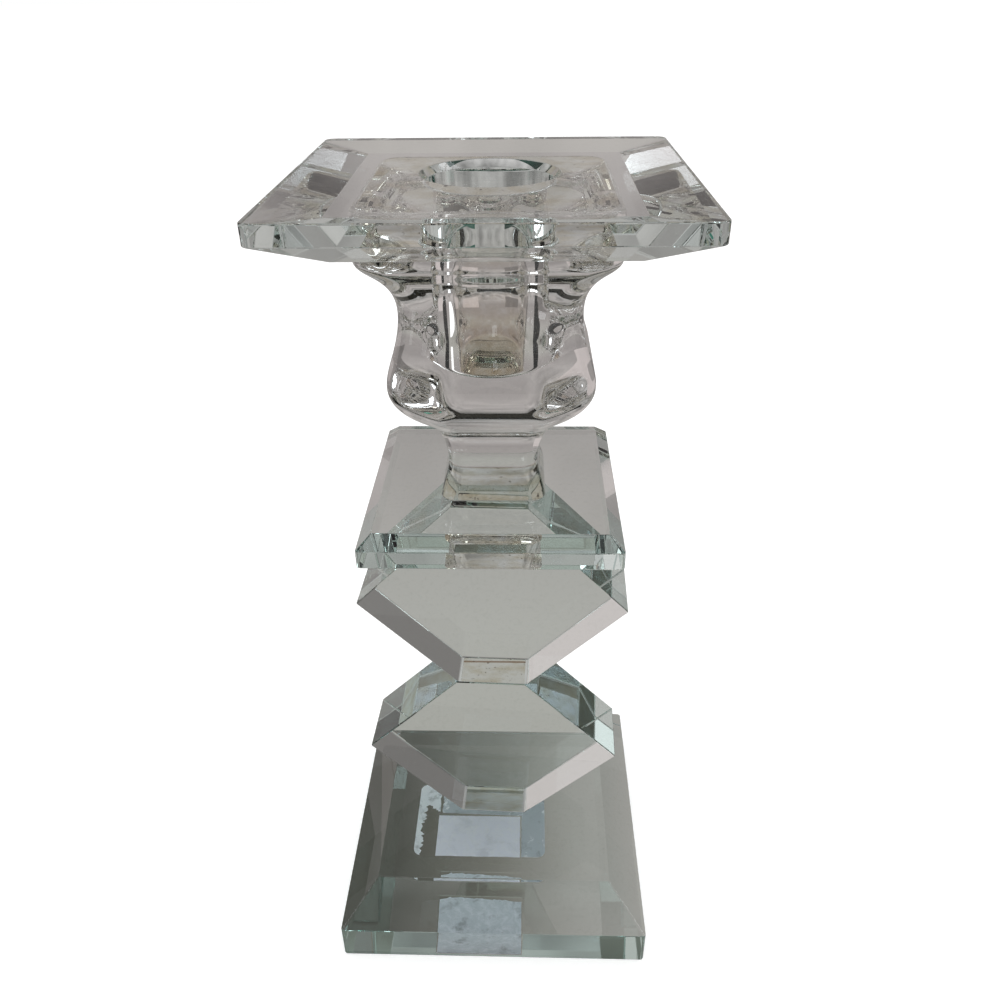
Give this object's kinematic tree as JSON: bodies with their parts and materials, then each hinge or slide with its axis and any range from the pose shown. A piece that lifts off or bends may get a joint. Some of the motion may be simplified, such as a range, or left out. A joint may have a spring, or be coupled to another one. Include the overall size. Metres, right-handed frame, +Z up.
{
  "type": "glass candlestick",
  "caption": "Free-standing clear glass candlestick: bevelled base, stacked six-sided blocks, collar plate and pressed cup with a square drip plate.",
  "frame": {"origin": "centre of the base block's resting face, on the surface that the candlestick stands on", "axes": "+Z up along the stack, +X across the wide faces of the six-sided blocks, -Y towards the viewer's side"},
  "size_m": [0.0761, 0.076, 0.1834],
  "materials": {
    "plate_glass": "polished, faint green",
    "block_glass": "cut and polished, faint green",
    "pressed_glass": "fire polished, clear",
    "adhesive": "clear, cured",
    "backing_paper": "matt, worn",
    "label_paper": "matt, blank"
  },
  "bodies": {
    "root": {"base_block": "plate_glass", "lower_block": "block_glass", "upper_block": "block_glass", "collar_plate": "plate_glass", "candle_cup": "pressed_glass", "drip_plate": "plate_glass", "base_joint_adhesive": "adhesive", "block_joint_adhesive": "adhesive", "collar_joint_adhesive": "adhesive", "cup_foot_adhesive": "adhesive", "drip_plate_adhesive": "adhesive", "backing_label": "backing_paper", "price_label": "label_paper", "front_label": "label_paper"}
  },
  "joints": []
}
